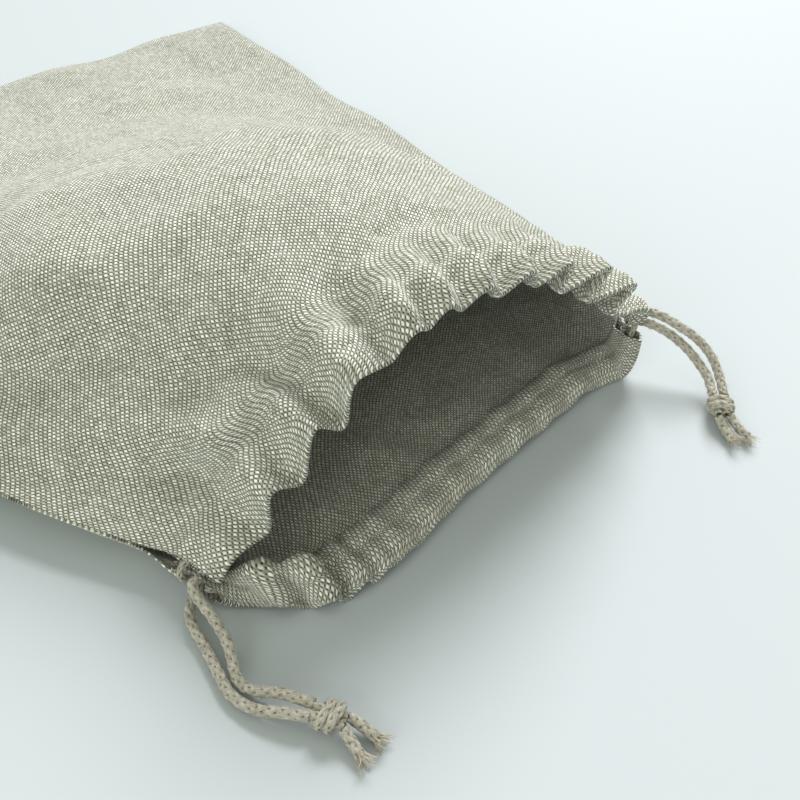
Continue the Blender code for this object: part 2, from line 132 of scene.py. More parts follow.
def smooth_route(points, spacing):
    """A smooth line through given points, with a point about every `spacing`."""
    knots = np.array(points, float)
    padded = np.vstack([2 * knots[0] - knots[1], knots, 2 * knots[-1] - knots[-2]])
    line = []
    for p0, p1, p2, p3 in zip(padded, padded[1:], padded[2:], padded[3:]):
        square = 2 * p0 - 5 * p1 + 4 * p2 - p3
        cube = 3 * p1 - p0 - 3 * p2 + p3
        for t in np.linspace(0, 1, CURVE_POINTS, endpoint=False):
            line.append(p1 + (p2 - p0) * t / 2 + square * t**2 / 2 + cube * t**3 / 2)
    line.append(knots[-1])
    line = np.array(line)
    count = max(3, round(distances(line)[-1] / spacing) + 1)
    return evenly(line, count)


def from_exits(points):
    """Points whose y is measured from the cord exits, in the bag's own frame."""
    return np.array(points, float) + (0.0, MOUTH_Y, 0.0)


def frames_along(line):
    """Unit directions along a line, across it and up from it, turning as little as they can."""
    ahead = np.gradient(line, axis=0)
    ahead /= np.linalg.norm(ahead, axis=1)[:, None]
    side = np.cross(ahead[0], (0.0, 0.0, 1.0))
    sides = [side / np.linalg.norm(side)]
    for direction in ahead[1:]:
        side = sides[-1] - direction * np.dot(sides[-1], direction)
        sides.append(side / np.linalg.norm(side))
    sides = np.array(sides)
    return ahead, sides, np.cross(sides, ahead)


def tube(line, across, up, half_width, half_height, sides):
    """Rings round a line joined into a closed tube: its points, its faces and their (along, round)."""
    count = len(line)
    turn = np.arange(sides) * 2 * math.pi / sides
    wide = np.broadcast_to(half_width, (count,))[:, None, None]
    high = np.broadcast_to(half_height, (count,))[:, None, None]
    points = (
        line[:, None, :]
        + across[:, None, :] * wide * np.cos(turn)[None, :, None]
        + up[:, None, :] * high * np.sin(turn)[None, :, None]
    ).reshape(-1, 3)
    along = distances(line)
    faces, marks = [], []
    for ring in range(count - 1):
        for k in range(sides):
            after = (k + 1) % sides
            here, ahead = ring * sides, (ring + 1) * sides
            faces.append((here + k, here + after, ahead + after, ahead + k))
            marks += [
                (along[ring], k / sides), (along[ring], (k + 1) / sides),
                (along[ring + 1], (k + 1) / sides), (along[ring + 1], k / sides),
            ]
    faces.append(tuple(range(sides))[::-1])
    faces.append(tuple((count - 1) * sides + k for k in range(sides)))
    marks += [(0.0, 0.5)] * sides + [(along[-1], 0.5)] * sides
    return points, faces, marks


def joined(shapes):
    """Several (points, faces, marks, finish) as one."""
    points, faces, marks, finishes = [], [], [], []
    start = 0
    for shape_points, shape_faces, shape_marks, finish in shapes:
        points.append(shape_points)
        faces += [tuple(start + k for k in face) for face in shape_faces]
        marks += shape_marks
        finishes += [finish] * len(shape_faces)
        start += len(shape_points)
    return np.vstack(points), faces, marks, finishes


def braid(line, tight=1.0, step=RING_STEP, sides=YARN_SIDES):
    """A braided cord along a line: its yarns, and a core that shows between them, painted dark as the shade
    there.

    tight is its thickness as a share of a free strand's.
    """
    length = distances(line)[-1]
    count = max(6, round(length / step))
    line = evenly(line, count)
    _, side, up = frames_along(line)
    s = np.linspace(0, length, count)
    shapes = []
    for hand in (1, -1):
        for k in range(BRAID_YARNS):
            turn = hand * 2 * math.pi * (s / BRAID_PITCH + k / BRAID_YARNS)
            out = side * np.cos(turn)[:, None] + up * np.sin(turn)[:, None]
            over = hand * BRAID_OVER * np.cos(2 * BRAID_YARNS * math.pi * s / BRAID_PITCH)
            middle = line + out * (tight * (BRAID_RADIUS + over))[:, None]
            way = np.gradient(middle, axis=0)
            way /= np.linalg.norm(way, axis=1)[:, None]
            out = out - way * (out * way).sum(axis=1)[:, None]
            out /= np.linalg.norm(out, axis=1)[:, None]
            across = np.cross(out, way)
            shapes.append((
                *tube(middle, across, out, YARN_HALF_WIDTH * tight, YARN_HALF_THICKNESS * tight, sides),
                0,
            ))
    shapes.append((*tube(line, side, up, CORE_RADIUS * tight, CORE_RADIUS * tight, CORE_SIDES), 1))
    return shapes


FIBRE_RADIUS = 0.035
FIBRE_LIFT = 1.0  # how far a loose fibre stands out of the yarns
FIBRE_REACH = (0.8, 2.6)  # how far along the cord it goes
FIBRE_SWAY = 0.9  # how far to one side of that
FIBRES_PER_MM = 2.6
FIBRE_STEP = 0.35
FIBRE_TIP = 0.6  # its thickness at the tip, as a share of that at the root


def fibre(points, radius, sides=3):
    """One loose fibre or thread through the points."""
    line = smooth_route(points, max(FIBRE_STEP, distances(np.array(points))[-1] / 6))
    _, side, up = frames_along(line)
    taper = np.linspace(1.0, FIBRE_TIP, len(line))
    return (*tube(line, side, up, radius * taper, radius * taper, sides), 0)


def fuzz(line, radius, chance, per_mm=FIBRES_PER_MM):
    """Fibres that stand out of a cord's surface, lying mostly along it."""
    length = distances(line)[-1]
    line = evenly(line, max(6, round(length)))
    along, side, up = frames_along(line)
    shapes = []
    for _ in range(round(length * per_mm)):
        at = chance.integers(0, len(line))
        turn = chance.uniform(0, 2 * math.pi)
        out = side[at] * math.cos(turn) + up[at] * math.sin(turn)
        across = np.cross(along[at], out)
        reach = chance.uniform(*FIBRE_REACH) * chance.choice((-1, 1))
        lift = FIBRE_LIFT * chance.uniform(0.25, 1.0)
        start = line[at] + out * radius * 0.9
        sway = across * chance.uniform(-FIBRE_SWAY, FIBRE_SWAY)
        points = [
            start,
            start + along[at] * reach * 0.5 + out * lift * 0.8 + sway * 0.4,
            start + along[at] * reach + out * lift * chance.uniform(0.3, 1.1) + sway,
        ]
        points = [np.array((p[0], p[1], max(p[2], FIBRE_RADIUS * 2))) for p in points]
        shapes.append(fibre(points, FIBRE_RADIUS))
    return shapes


def linear(hex_colour):
    """A linear RGBA colour for an sRGB hex value."""
    channels = [int(hex_colour[k : k + 2], 16) / 255 for k in (1, 3, 5)]
    return tuple(c / 12.92 if c <= 0.04045 else ((c + 0.055) / 1.055) ** 2.4 for c in channels) + (1.0,)


def add_node(tree, kind, links=(), **settings):
    """A node with its settings, and its inputs: a value, an output, or a node for its first output."""
    node = tree.nodes.new(kind)
    for name, value in settings.items():
        setattr(node, name, value)
    for socket, value in dict(links).items():
        if isinstance(value, bpy.types.Node):
            value = value.outputs[0]
        if isinstance(value, bpy.types.NodeSocket):
            tree.links.new(value, node.inputs[socket])
        else:
            node.inputs[socket].default_value = value
    return node


def new_material(name):
    """An empty material: its node tree and its Principled shader."""
    made = bpy.data.materials.new(name)
    made.use_nodes = True
    return made, made.node_tree, made.node_tree.nodes["Principled BSDF"]


def cord_material(name, light, dark):
    """Linen yarn, combed and loosely twisted: fine lines along it, slubs, and no gloss.

    Its UV map gives millimetres along a yarn and the share of the way round it.
    """
    made, tree, shader = new_material(name)
    shader.inputs["Roughness"].default_value = 0.92
    shader.inputs["Specular IOR Level"].default_value = 0.2
    shader.inputs["Sheen Weight"].default_value = 0.12

    # Fibres about 2 mm long and a ninth of the way round, and slubs of 2 to 3 mm
    place = add_node(tree, "ShaderNodeUVMap", uv_map="yarn")
    lines = add_node(tree, "ShaderNodeMapping", {"Vector": place, "Scale": (0.45, 9.0, 1.0)})
    ply = add_node(tree, "ShaderNodeTexNoise", {
        "Vector": lines, "Scale": 1.0, "Detail": 3.0, "Roughness": 0.6, "Distortion": 0.4,
    })
    space = add_node(tree, "ShaderNodeTexCoord")
    slub = add_node(tree, "ShaderNodeTexNoise", {
        "Vector": space.outputs["Object"], "Scale": 420.0, "Detail": 3.0, "Roughness": 0.65,
    })
    both = add_node(tree, "ShaderNodeMath", {0: ply, 1: slub}, operation="ADD")
    shade = add_node(tree, "ShaderNodeMapRange", {"Value": both, "From Min": 0.72, "From Max": 1.28})
    colour = add_node(tree, "ShaderNodeMix", {
        "Factor": shade, 6: linear(dark), 7: linear(light),
    }, data_type="RGBA")
    tree.links.new(colour.outputs[2], shader.inputs["Base Color"])
    bump = add_node(tree, "ShaderNodeBump", {"Height": ply, "Strength": 0.7, "Distance": 0.0003})
    tree.links.new(bump.outputs["Normal"], shader.inputs["Normal"])
    return made


braided_linen = cord_material("braided_natural_linen_yarn", "#c6c3b3", "#8d8877")
# The core's colour is painted shade: it is seen only in the gaps between the yarns, as dark dots along the
# cord, and is painted dark for the shade that falls there
braid_core = cord_material("braid_core_painted_shade", "#514b3d", "#332f26")
CORD_FINISHES = (braided_linen, braid_core)


def add_cord(name, shapes, finishes, node):
    """An object of several shapes, in millimetres, that stands for one CAD node."""
    points, faces, marks, which = joined(shapes)
    mesh = bpy.data.meshes.new(name)
    mesh.from_pydata((points * MM).tolist(), [], faces)
    layer = mesh.uv_layers.new(name="yarn")
    layer.data.foreach_set("uv", np.array(marks, np.float32).ravel())
    for finish in finishes:
        mesh.materials.append(finish)
    mesh.polygons.foreach_set("material_index", which)
    mesh.shade_smooth()
    mesh.update()
    piece = bpy.data.objects.new(name, mesh)
    bpy.context.scene.collection.objects.link(piece)
    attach(piece, "root")
    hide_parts(node)
    return piece


STRAND_STEP = 2.4  # between the points of a strand's route
FUZZ_SEED = 11

chance = np.random.default_rng(FUZZ_SEED)
strands = {}
for group in (NEAR_STRANDS, FAR_STRANDS):
    for name, points in group.items():
        route = smooth_route(from_exits(points), STRAND_STEP)
        shapes = braid(route) + fuzz(route, CORD / 2, chance)
        strands[name] = (add_cord(name + "_cord", shapes, CORD_FINISHES, name), route)

# ------------------------------------------------------------------------------ knots and cut ends
# The two strands are tied together in one overhand knot, pulled tight, and cut off just past it. The
# yarns fray where they were cut, and their paler inside shows.

Knot = namedtuple("Knot", "centre heading half_sizes")
KNOTS = {
    "near_knot": Knot((-88.4, -58.0, 5.0), (0.55, -0.83, 0.0), (5.0, 5.2, 4.7)),
    "far_knot": Knot((102.4, -40.6, 5.0), (-0.66, -0.75, 0.0), (4.6, 5.0, 4.7)),
}
CUT_ENDS = {
    "near_end_left": [(-87.5, -63.7, 4.3), (-87.6, -68.0, 2.8), (-87.9, -72.5, 1.9)],
    "near_end_right": [(-83.7, -61.6, 4.2), (-82.0, -66.2, 2.8), (-80.8, -70.6, 1.9)],
    "far_end_left": [(97.8, -43.9, 4.1), (95.8, -48.6, 2.6), (94.6, -53.0, 1.9)],
    "far_end_right": [(101.5, -46.1, 4.2), (100.4, -51.2, 2.6), (99.8, -55.6, 1.9)],
}
WRAP_TIGHT = 0.9  # a cord in the knot is pulled thinner
WRAP_TURNS = 1.35
WRAP_FROM = math.radians(-150)  # where round the pair it starts
WRAP_POINTS = 60
WRAP_SLANT = 1.5  # how far the wrap leans along the cords
WRAP_ADVANCE = 1.6  # how far along them it goes from end to end
WRAP_APART = 0.92  # from the knot's middle to each of the two wrapping cords, in their half thickness
WRAP_TUCK = 0.35  # at its two ends the wrap keeps only this share of its distance from the pair
WRAP_RISE = 5  # how fast it comes out from there
WRAP_STEP = 0.5
THROUGH_LENGTH = 1.05  # of the pair that runs through, as a share of the knot's
THROUGH_APART = 0.95  # its two cords' distance, as a share of the wrapping cords'
THROUGH_SPACING = 0.8
THROUGH_STEP = 0.6
KNOT_FIBRES_PER_MM = 3.0
END_SPACING = 1.2
FRAY_YARNS = 46
FRAY_LENGTH = (2.2, 5.2)
FRAY_THICKNESS = (0.07, 0.2)
FRAY_SPREAD = (0.3, 1.1)  # how far it opens, as a share of its distance from the cord's middle
FRAY_ROOT = 1.5  # how far inside the cord it starts
CLEAR_OF_TABLE = 0.05  # the least gap between a piece and the table

# Loose fibre ends, paler than the yarns because nothing twists them together
cut_yarn = cord_material("cut_linen_fibre", "#e2dcc8", "#bdb39b")


def knot_shapes(knot, chance):
    """Two cords side by side, wound round the pair that runs through."""
    along = np.array(knot.heading) / np.linalg.norm(knot.heading)
    up = np.array((0.0, 0.0, 1.0))
    across = np.cross(up, along)
    centre = from_exits([knot.centre])[0]
    half_along, half_across, half_up = knot.half_sizes
    cord = CORD / 2 * WRAP_TIGHT
    shapes = []
    for place in (-WRAP_APART, WRAP_APART):
        line = []
        for t in np.linspace(0, 1, WRAP_POINTS):
            turn = WRAP_FROM + t * WRAP_TURNS * 2 * math.pi
            tuck = min(1.0, WRAP_TUCK + WRAP_RISE * min(t, 1 - t))
            line.append(
                centre
                + along * (place * cord + WRAP_SLANT * math.sin(turn + 0.6) + (t - 0.5) * WRAP_ADVANCE)
                + across * math.cos(turn) * (half_across - cord) * tuck
                + up * math.sin(turn) * (half_up - cord) * tuck
            )
        shapes += braid(np.array(line), WRAP_TIGHT, WRAP_STEP)
        through = [
            centre + along * (share * half_along * THROUGH_LENGTH) + across * place * cord * THROUGH_APART
            for share in (-1.0, -0.5, 0.0, 0.5, 1.0)
        ]
        shapes += braid(smooth_route(through, THROUGH_SPACING), WRAP_TIGHT, THROUGH_STEP)
        shapes += fuzz(np.array(line), cord, chance, KNOT_FIBRES_PER_MM)
    return shapes


def fray(line, chance):
    """The tuft at a cord's cut end."""
    tip = line[-1]
    way = line[-1] - line[-3]
    way /= np.linalg.norm(way)
    side = np.cross(way, (0.0, 0.0, 1.0))
    side /= np.linalg.norm(side)
    up = np.cross(side, way)
    shapes = []
    for _ in range(FRAY_YARNS):
        turn = chance.uniform(0, 2 * math.pi)
        radius = CORD / 2 * math.sqrt(chance.uniform(0.05, 0.9))
        out = side * math.cos(turn) + up * math.sin(turn)
        reach = chance.uniform(*FRAY_LENGTH) * (0.55 + 0.45 * chance.uniform())
        spread = chance.uniform(*FRAY_SPREAD) * radius
        curl = np.cross(way, out) * chance.uniform(-1.0, 1.0)
        points = [
            tip - way * FRAY_ROOT + out * radius * 0.7,
            tip + way * reach * 0.4 + out * (radius + spread * 0.5),
            tip + way * reach * 0.8 + out * (radius + spread * 1.2) + curl,
            tip + way * reach + out * (radius + spread * 1.4) + curl * 1.8,
        ]
        thick = chance.uniform(*FRAY_THICKNESS)
        points = [np.array((p[0], p[1], max(p[2], thick + CLEAR_OF_TABLE))) for p in points]
        shapes.append(fibre(points, thick, 4))
    return shapes


for name, knot in KNOTS.items():
    add_cord(name + "_tied", knot_shapes(knot, chance), CORD_FINISHES, name)
for name, points in CUT_ENDS.items():
    route = smooth_route(from_exits(points), END_SPACING)
    shapes = braid(route) + fuzz(route, CORD / 2, chance)
    shapes += [(*shape[:3], 2) for shape in fray(route, chance)]
    add_cord(name + "_cord", shapes, (*CORD_FINISHES, cut_yarn), name)

for side, names in (("near", list(NEAR_STRANDS)), ("far", list(FAR_STRANDS))):
    for name in names:
        piece, route = strands[name]

# ------------------------------------------------------------------------------------- upper panel
# One piece of natural linen in plain weave, with a turned-in hem that makes the drawstring casing. It
# keeps the round shape it took over a loaf, is gathered at the mouth by the drawn cords, and slopes
# down to lie flat behind.

FLAT_WIDTH = 300.0  # side seam to side seam, laid flat
FLAT_LENGTH = 400.0  # mouth to closed end, laid flat
HEM = 20.0  # how far in the casing's sewn edge is
CLOTH = 0.8  # thickness of one layer, a little less than its solid's
LAYER_STEP = 1.9  # between the middles of the upper and the lower layer, where they lie closed
CASING_HALF = 2.5  # from the casing's middle to the middle of either layer, over the cords
CASING_SWELL = (0.8, 4.2, 15.2, 19.0)  # where the casing starts, is, stays and stops being full
CORD_ROWS = (6.5, 12.8)  # how far from the lip each drawstring runs
CORD_RIDGE = 0.45  # how far a drawstring lifts the cloth over it
RIDGE_WIDTH = 2.2  # how far from its row the lift has nearly gone
CORD_PINCH = 0.15  # share of each pleat's height that the drawn cords take away
SEAM_STEP = 0.86  # between the middles of two layers that are sewn together
SEAM_FADE = 9.0  # how far in from a seam the layers close on each other
STITCH_FADE = 6.0  # how far behind the casing's stitching the side seams close
LOOSE_FROM = 25.0  # how far behind it the cloth is free to wrinkle
FINE = 901  # points that stand for a smooth curve before it is divided

# A row for each distance v from the lip, along the cloth. The crown is the highest point. Near is the
# side seam at -X and far the one at +X; their y and mid_y are measured from the cord exits. swell
# rounds the shoulders and skirt flares the foot of the slope.
Section = namedtuple(
    "Section",
    "v mid_y crown_x crown_z near_x near_y near_z far_x far_y far_z"
    " near_swell near_skirt far_swell far_skirt",
)
UPPER = [
    Section(0, -5, 2, 78.0, -91, -3, 11.5, 93, -6, 27.0, 2.0, 1.30, 2.2, 0.90),
    Section(15, 10, 2, 79.7, -95, 13, 11.4, 98, 8, 22.6, 2.0, 1.33, 2.2, 0.95),
    Section(20, 15, 2, 80.0, -97, 18, 11.0, 100, 13, 20.0, 2.0, 1.35, 2.2, 1.00),
    Section(30, 25, 2, 81.5, -103, 28, 10.6, 104, 22, 15.5, 2.0, 1.40, 2.2, 1.05),
    Section(75, 70, 2, 83.0, -127, 72, 11.5, 125, 66, 3.4, 2.1, 1.50, 2.2, 1.30),
    Section(115, 110, 2, 79.0, -142, 112, 11.0, 134, 106, 1.5, 2.2, 1.70, 2.2, 1.50),
    Section(157, 150, 2, 67.0, -150, 153, 9.8, 135, 147, 1.0, 2.2, 1.80, 2.2, 1.80),
    Section(202, 190, 2, 47.0, -153, 195, 7.0, 135, 191, 1.0, 2.2, 2.00, 2.2, 2.00),
    Section(247, 230, 0, 26.0, -155, 237, 3.6, 135, 235, 1.0, 2.2, 2.00, 2.2, 2.00),
    Section(290, 270, -4, 12.0, -156, 277, 1.0, 136, 277, 1.0, 2.2, 2.00, 2.2, 2.00),
    Section(330, 310, -8, 5.5, -157, 315, 1.0, 136, 315, 1.0, 2.2, 2.00, 2.2, 2.00),
    Section(370, 348, -10, 2.6, -158, 350, 1.0, 136, 350, 1.0, 2.2, 2.00, 2.2, 2.00),
    Section(400, 373, -11, 1.2, -158, 373, 1.0, 136, 373, 1.0, 2.2, 2.00, 2.2, 2.00),
]

# Each fold is a soft ridge, or a trough where rise is negative, that fades from one end of its line to
# the other. u runs across the cloth from the middle, and v along it from the lip. lean tips it towards +u.
Fold = namedtuple("Fold", "from_u from_v to_u to_v rise width lean")
UPPER_FOLDS = [
    Fold(-141, -5, -128, 32, 3.4, 8.0, 0.2),
    Fold(-122, -5, -119, 22, -5.5, 6.0, 0.0),
    Fold(-106, -5, -97, 34, 6.4, 7.4, 0.3),
    Fold(-94, -5, -84, 34, -7.4, 6.6, 0.4),
    Fold(-80, -5, -76, 42, 6.4, 7.8, 0.8),
    Fold(-64, -3, -63, 38, -7.5, 6.5, 0.3),
    Fold(-50, 4, -43, 60, 6.0, 8.0, 0.3),
    Fold(-31, 6, -23, 48, -7.0, 6.0, 0.2),
    Fold(-18, 8, -14, 36, 4.4, 5.0, 0.4),
    Fold(-10, 2, -8, 30, -3.4, 4.0, 0.2),
    Fold(0, 6, 2, 34, 3.6, 4.6, 0.3),
    Fold(9, 2, 13, 38, -3.6, 4.6, 0.3),
    Fold(21, 6, 20, 38, 3.6, 5.0, 0.4),
    Fold(32, 3, 30, 44, -5.0, 5.5, 0.4),
    Fold(44, 2, 40, 34, 3.2, 5.0, 0.5),
    Fold(54, -5, 49, 46, -3.4, 5.0, 0.5),
    Fold(65, -5, 59, 50, 5.0, 5.5, 0.8),
    Fold(77, -5, 69, 36, -6.2, 5.6, 0.5),
    Fold(89, -5, 79, 56, 7.0, 5.8, 1.0),
    Fold(102, -5, 91, 40, -7.2, 6.8, 0.5),
    Fold(115, -5, 103, 60, 7.0, 5.8, 1.0),
    Fold(129, -5, 117, 42, -6.4, 7.5, 0.5),
    Fold(143, -5, 131, 52, 4.0, 5.0, 0.6),
    Fold(-95, 28, -120, 64, 6.0, 7.0, 0.0),
    Fold(-116, 30, -119, 58, -6.0, 8.5, 0.0),
    Fold(-66, 36, -69, 62, -7.0, 10.0, 0.0),
    Fold(2, 40, 30, 42, -2.2, 4.0, 0.0),
    Fold(-80, 128, -45, 270, 12.0, 32.0, 0.0),
    Fold(-86, 52, -122, 160, -5.5, 14.0, 0.0),
]
FOLD_SPREAD = 0.8  # how much wider a fold gets towards its far end, as a share of its width
FOLD_FADE = 1.2  # above 1, it sinks sooner

# The limp cloth's own unevenness: many low waves with no direction of their own
WRINKLES = 46
WRINKLE_LENGTHS = (14.0, 55.0)
WRINKLE_RISE = 0.17  # height of the longest; the shorter ones are lower
UPPER_SEED = 5

# The closed end lies in low waves, with its side edges and its end slightly crooked and its corners
# drawn in. A wave's across and along are the distances over which its phase grows by one radian.
Wave = namedtuple("Wave", "rise across along phase")
SETTLED_WAVES = [Wave(0.8, 15.1, 22.3, 1.0), Wave(0.6, 9.2, -13.2, 2.2)]
SETTLED_FROM = (140, 240)  # where, along the cloth, they set in
SIDE_DRIFT = 0.5
SIDE_DRIFT_FROM = (60, 120)
SIDE_WAVE = 17.0
END_DRIFT = 0.8
END_DRIFT_FROM = 300
END_WAVE = 21.0
CORNER_DRAW = 2.0
CORNER_SIZE = 25


def between_rows(rows, column, at):
    """One column's values where the first is `at`, on a curve that nowhere passes beyond its rows."""
    stations = np.array([row[0] for row in rows], float)
    values = np.array([getattr(row, column) for row in rows], float)
    rates = np.diff(values) / np.diff(stations)
    slopes = np.concatenate([rates[:1], np.zeros(len(rates) - 1), rates[-1:]])
    for row in range(1, len(rates)):
        before, after = rates[row - 1], rates[row]
        if before * after > 0:
            slopes[row] = 2 * before * after / (before + after)
    k = np.clip(np.searchsorted(stations, at, side="right") - 1, 0, len(rows) - 2)
    width = stations[k + 1] - stations[k]
    t = (at - stations[k]) / width
    start = (2 * t**3 - 3 * t**2 + 1) * values[k] + (t**3 - 2 * t**2 + t) * width * slopes[k]
    finish = (3 * t**2 - 2 * t**3) * values[k + 1] + (t**3 - t**2) * width * slopes[k + 1]
    return start + finish


def ramp(x, low, high):
    """0 below low, 1 above high, and smooth between."""
    t = np.clip((x - low) / (high - low), 0, 1)
    return t * t * (3 - 2 * t)


def casing_fullness(v):
    """1 where the cords fill the casing, and 0 at the lip and behind the hem's stitching."""
    start, full, still_full, stop = CASING_SWELL
    return ramp(v, start, full) * (1 - ramp(v, still_full, stop))


def layer_half(v):
    """From the middle of the two layers to the middle of either."""
    ridges = sum(math.exp(-(((v - row) / RIDGE_WIDTH) ** 2)) for row in CORD_ROWS) * CORD_RIDGE
    return LAYER_STEP / 2 + (CASING_HALF - LAYER_STEP / 2) * casing_fullness(v) + ridges


def folds_at(folds, u, v):
    """How far the folds lift the cloth at u and v, and how far they push it towards +u."""
    rise, push = np.zeros_like(u), np.zeros_like(u)
    for fold in folds:
        run_u, run_v = fold.to_u - fold.from_u, fold.to_v - fold.from_v
        t = ((u - fold.from_u) * run_u + (v - fold.from_v) * run_v) / (run_u**2 + run_v**2)
        t = np.clip(t, 0, 1)
        away = np.hypot(u - fold.from_u - t * run_u, v - fold.from_v - t * run_v)
        width = fold.width * (1 + FOLD_SPREAD * t)
        fade = np.clip(np.cos(t * math.pi / 2), 0, 1) ** FOLD_FADE
        lift = fold.rise * fade * np.exp(-((away / width) ** 2))
        rise += lift
        push += lift * fold.lean
    kept = 1 - CORD_PINCH * casing_fullness(v)
    return rise * kept, push * kept


def wrinkles_at(seed, u, v):
    """The cloth's own unevenness at u and v."""
    chance = np.random.default_rng(seed)
    rise = np.zeros_like(u)
    for _ in range(WRINKLES):
        length = chance.uniform(*WRINKLE_LENGTHS)
        turn = chance.uniform(0, math.pi)
        phase = chance.uniform(0, 2 * math.pi)
        along = (u * math.cos(turn) + v * math.sin(turn)) * 2 * math.pi / length
        rise += np.sin(along + phase) * (length / WRINKLE_LENGTHS[1])
    return rise * WRINKLE_RISE


def upper_section(v):
    """The upper panel's middle across the bag at v, before its folds, from the near seam to the far."""
    at = {name: between_rows(UPPER, name, v) for name in Section._fields}
    share = np.sin(np.linspace(-math.pi / 2, math.pi / 2, FINE))
    out = np.abs(share)
    near = share < 0
    edge_x, edge_y, edge_z, swell, skirt = (
        np.where(near, at["near_" + part], at["far_" + part]) for part in ("x", "y", "z", "swell", "skirt")
    )
    x = at["crown_x"] + out * (edge_x - at["crown_x"])
    y = at["mid_y"] + out**2 * (edge_y - at["mid_y"])
    z = edge_z + (at["crown_z"] - edge_z) * np.clip(1 - out**swell, 0, 1) ** skirt
    return evenly(np.stack([x, y + MOUTH_Y, z], axis=1), FINE)


def settling(u, v):
    """How both panels lie at their closed end: how far they rise, drift across and drift along."""
    rise = sum(
        wave.rise * (1 + np.sin(u / wave.across + v / wave.along + wave.phase)) for wave in SETTLED_WAVES
    )
    out = np.abs(u) / (FLAT_WIDTH / 2)
    edge = out**4 * ramp(v, *SIDE_DRIFT_FROM)
    drift = edge * SIDE_DRIFT * np.sin(v / SIDE_WAVE + np.sign(u) * 1.4)
    corner = out**14 * ramp(v, FLAT_LENGTH - CORNER_SIZE, FLAT_LENGTH)
    end = ramp(v, END_DRIFT_FROM, FLAT_LENGTH) * END_DRIFT * np.sin(u / END_WAVE + 0.7)
    return rise * ramp(v, *SETTLED_FROM), drift, end - CORNER_DRAW * corner


def layer_line(section, folds, seed, v, offset):
    """Fine points across one layer of the cloth, `offset` above the middle of the two."""
    here = section(v)
    ahead = section(min(v + 1, FLAT_LENGTH))
    back = section(max(v - 1, 0))
    across = np.gradient(here, axis=0)
    up = np.cross(across, ahead - back)
    up /= np.linalg.norm(up, axis=1)[:, None]
    across /= np.linalg.norm(across, axis=1)[:, None]
    u = np.linspace(-FLAT_WIDTH / 2, FLAT_WIDTH / 2, FINE)
    rise, push = folds_at(folds, u, np.full(FINE, float(v)))
    closed = ramp(np.abs(u), FLAT_WIDTH / 2 - SEAM_FADE, FLAT_WIDTH / 2) * ramp(v, HEM, HEM + STITCH_FADE)
    closed = np.maximum(closed, ramp(v, FLAT_LENGTH - SEAM_FADE, FLAT_LENGTH))
    loose = ramp(v, HEM, HEM + LOOSE_FROM) * (1 - closed)
    rise = rise + wrinkles_at(seed, u, np.full(FINE, float(v))) * loose
    offset = offset * (1 - closed) + math.copysign(SEAM_STEP / 2, offset) * closed
    settled, drift, along = settling(u, v)
    line = here + up * (rise + settled + offset)[:, None] + across * (push + drift)[:, None]
    line[:, 1] += along
    line[:, 2] = np.maximum(line[:, 2], CLOTH / 2 + CLEAR_OF_TABLE)
    return line


LIP_TURN = (-64, -32, 0, 32, 64)  # degrees round the lip's rounded edge
CASING_FROM = 1.3  # the casing's first row behind the lip
CASING_SPACING = 1.25
ROW_SPACINGS = ((HEM, 1.5), (90.0, 2.4), (180.0, 4.4))  # each from its distance v onwards
COLUMNS = 236
HEM_CLOSES = (4.0, 1.0)  # how far before its sewn edge the hem starts to close, and is closed


def panel_rows(outside):
    """Rows of a panel in cloth order, each a distance v and an offset from the layers' middle."""
    casing = np.linspace(CASING_FROM, HEM, round(HEM / CASING_SPACING))
    rows = []
    for v in casing[::-1]:
        sewn = ramp(v, HEM - HEM_CLOSES[0], HEM - HEM_CLOSES[1])
        rows.append((v, -outside * (layer_half(v) * (1 - sewn) - sewn * (LAYER_STEP / 2 - SEAM_STEP))))
    half = layer_half(0)
    for turn in LIP_TURN:
        v = half * (1 - math.cos(math.radians(turn)))
        rows.append((v, outside * half * math.sin(math.radians(turn))))
    rows += [(v, outside * layer_half(v)) for v in casing]
    stops = [start for start, _ in ROW_SPACINGS[1:]] + [FLAT_LENGTH]
    for (start, spacing), stop in zip(ROW_SPACINGS, stops):
        count = round((stop - start) / spacing)
        rows += [(v, outside * layer_half(v)) for v in np.linspace(start, stop, count + 1)[1:]]
    return rows


